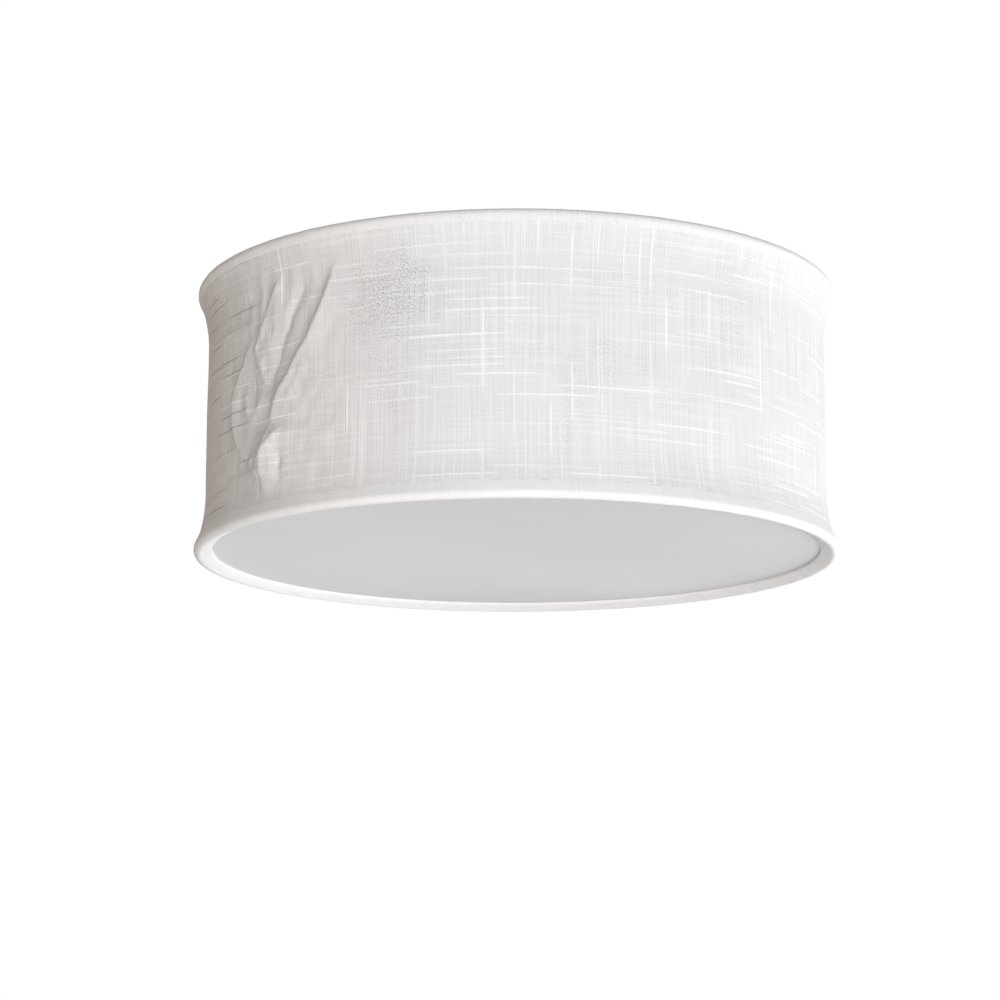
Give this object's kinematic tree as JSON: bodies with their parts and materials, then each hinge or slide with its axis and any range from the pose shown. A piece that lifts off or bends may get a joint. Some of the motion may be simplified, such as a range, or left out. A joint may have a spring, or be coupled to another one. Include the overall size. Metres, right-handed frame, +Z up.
{
  "type": "flush mount ceiling light",
  "caption": "Flush ceiling light with a waisted linen drum shade on a wire frame, an opal diffuser inside its bottom ring, and a steel pan with E27 lampholders.",
  "frame": {"origin": "centre of the pan's ceiling face", "axes": "+Z up, out of the ceiling face; the light hangs below it; +Y towards the cable entry and lamp 1"},
  "size_m": [0.45, 0.45, 0.19],
  "materials": {
    "linen": "slubby plain-weave linen, matt",
    "hem_linen": "the same linen, doubled and turned over the ring",
    "opal_sheet": "opal acrylic, satin",
    "white_frame": "white powder coat, satin",
    "white_pan": "white powder coat, satin",
    "zinc_steel": "bright zinc plate",
    "magnet_cup": "nickel-plated cup",
    "magnet_core": "dark ferrite",
    "white_rubber": "soft white rubber",
    "white_nylon": "natural nylon",
    "brass": "plain brass",
    "earth_insulation": "green and yellow insulation",
    "live_insulation": "brown insulation",
    "neutral_insulation": "blue insulation",
    "holder_plastic": "white moulded plastic",
    "ceramic": "steatite",
    "lamp_cap_metal": "nickel-plated",
    "lamp_body_plastic": "white moulded plastic",
    "lamp_globe_plastic": "frosted opal plastic"
  },
  "bodies": {
    "ceiling_base": {"bracket_rivets": "zinc_steel", "cable_bush": "white_rubber", "ceiling_pan": "white_pan", "earth_lead": "earth_insulation", "earth_screw": "zinc_steel", "earth_tag": "zinc_steel", "holder_bracket_1": "zinc_steel", "holder_bracket_2": "zinc_steel", "holder_bracket_3": "zinc_steel", "holder_screws": "zinc_steel", "lampholder_cap_1": "holder_plastic", "lampholder_cap_2": "holder_plastic", "lampholder_cap_3": "holder_plastic", "lampholder_carriers": "ceramic", "lampholder_contacts": "brass", "lampholder_shell_1": "brass", "lampholder_shell_2": "brass", "lampholder_shell_3": "brass", "lampholder_skirt_1": "holder_plastic", "lampholder_skirt_2": "holder_plastic", "lampholder_skirt_3": "holder_plastic", "live_leads": "live_insulation", "lug_rivets": "zinc_steel", "magnet_cores": "magnet_core", "magnet_cups": "magnet_cup", "magnet_rivets": "zinc_steel", "neutral_leads": "neutral_insulation", "shade_lug_1": "white_pan", "shade_lug_2": "white_pan", "shade_lug_3": "white_pan", "terminal_block": "white_nylon", "terminal_fixing": "zinc_steel", "terminal_screws": "zinc_steel", "terminal_tubes": "brass"},
    "shade": {"top_ring": "white_frame", "bottom_ring": "white_frame", "linen_cover": "linen", "top_hem": "hem_linen", "bottom_hem": "hem_linen", "strut_1": "white_frame", "strut_2": "white_frame", "strut_3": "white_frame", "shade_arm_1": "white_frame", "shade_arm_2": "white_frame", "shade_arm_3": "white_frame"},
    "diffuser": {"opal_diffuser": "opal_sheet"},
    "lamp_1": {"lamp_1_globe": "lamp_globe_plastic", "lamp_1_body": "lamp_body_plastic", "lamp_1_cap": "lamp_cap_metal", "lamp_1_contact": "lamp_cap_metal"},
    "lamp_2": {"lamp_2_globe": "lamp_globe_plastic", "lamp_2_body": "lamp_body_plastic", "lamp_2_cap": "lamp_cap_metal", "lamp_2_contact": "lamp_cap_metal"},
    "lamp_3": {"lamp_3_globe": "lamp_globe_plastic", "lamp_3_body": "lamp_body_plastic", "lamp_3_cap": "lamp_cap_metal", "lamp_3_contact": "lamp_cap_metal"}
  },
  "joints": [
    {"name": "shade_pull_down", "type": "slide", "parent": "ceiling_base", "child": "shade", "axis": [0, 0, -1], "range_m": [0, 0.2]},
    {"name": "diffuser_lift", "type": "slide", "parent": "shade", "child": "diffuser", "axis": [0, 0, 1], "range_m": [0, 0.07]},
    {"name": "lamp_1_unscrew", "type": "slide", "parent": "ceiling_base", "child": "lamp_1", "axis": [0, 1, 0], "range_m": [0, 0.028]},
    {"name": "lamp_2_unscrew", "type": "slide", "parent": "ceiling_base", "child": "lamp_2", "axis": [-0.866, -0.5, 0], "range_m": [0, 0.028]},
    {"name": "lamp_3_unscrew", "type": "slide", "parent": "ceiling_base", "child": "lamp_3", "axis": [0.866, -0.5, 0], "range_m": [0, 0.028]}
  ]
}
